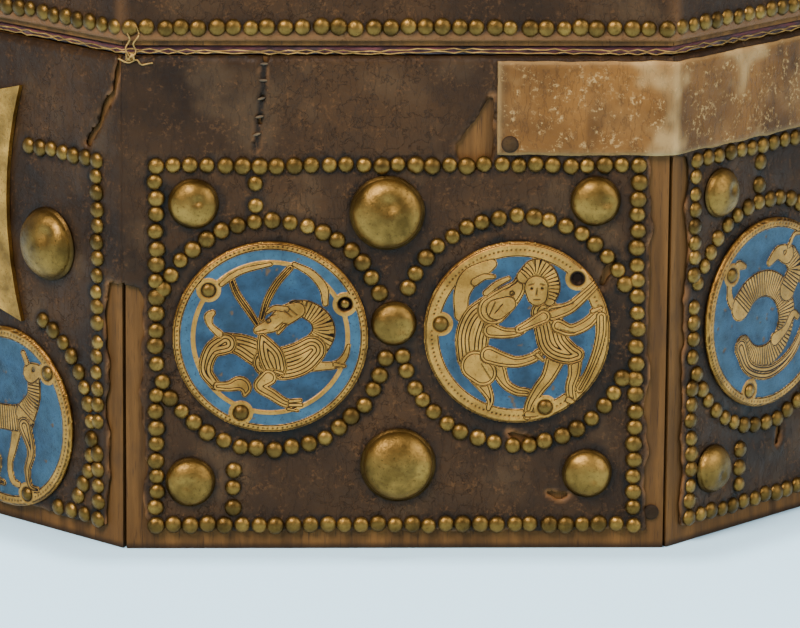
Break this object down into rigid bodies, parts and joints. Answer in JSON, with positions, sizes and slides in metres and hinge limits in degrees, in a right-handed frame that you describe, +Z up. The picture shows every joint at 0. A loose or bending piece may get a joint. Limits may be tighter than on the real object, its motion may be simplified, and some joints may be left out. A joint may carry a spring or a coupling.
{
  "type": "reliquary casket",
  "caption": "Eight-sided wooden casket covered in studded leather, with enamelled copper medallions, a lock plate and a lift-off lid.",
  "frame": {"origin": "middle of the underside", "axes": "+Z up; the side with the beast and lion medallions faces -Y, the lock side is next to it towards -X, and +X is to the right of that front side"},
  "size_m": [0.4616, 0.4619, 0.2271],
  "materials": {
    "oak": "old, dry, vertical grain",
    "leather": "dark, cracked and scuffed",
    "patch_leather": "tan, scuffed pale",
    "silk": "faded crimson silk",
    "brass": "aged, soft shine",
    "gilt_copper": "gilded, worn",
    "enamel": "glossy, pitted blue enamel with gilt figures",
    "iron": "dark, rusted"
  },
  "bodies": {
    "root": {"bottom_board": "oak", "wall_board_0": "oak", "wall_board_1": "oak", "wall_board_2": "oak", "wall_board_3": "oak", "wall_board_4": "oak", "wall_board_5": "oak", "wall_board_6": "oak", "wall_board_7": "oak", "lid_rim_board_0": "oak", "lid_rim_board_1": "oak", "lid_rim_board_2": "oak", "lid_rim_board_3": "oak", "lid_rim_board_4": "oak", "lid_rim_board_5": "oak", "lid_rim_board_6": "oak", "lid_rim_board_7": "oak", "lid_top_board": "oak", "silk_edge": "silk", "leather_side_0": "leather", "leather_side_1": "leather", "leather_side_2": "leather", "leather_side_3": "leather", "leather_side_4": "leather", "leather_side_5": "leather", "leather_side_6": "leather", "leather_side_7": "leather", "upper_left_boss": "brass", "upper_right_boss": "brass", "lower_left_boss": "brass", "lower_right_boss": "brass", "upper_big_boss": "brass", "lower_big_boss": "brass", "middle_boss": "brass", "lock_side_left_boss": "brass", "lock_side_right_boss": "brass", "leather_patch": "patch_leather", "patch_nail": "iron", "medallion_0_left": "enamel", "medallion_0_right": "enamel", "medallion_1_left": "enamel", "medallion_1_right": "enamel", "medallion_2_left": "enamel", "medallion_2_right": "enamel", "medallion_3_left": "enamel", "medallion_3_right": "enamel", "medallion_4_left": "enamel", "medallion_4_right": "enamel", "medallion_5_left": "enamel", "medallion_5_right": "enamel", "medallion_6_left": "enamel", "medallion_6_right": "enamel", "medallion_7_left": "enamel", "medallion_7_right": "enamel", "lock_plate": "gilt_copper", "lid_leather": "leather", "lid_medallion": "enamel"}
  },
  "joints": []
}
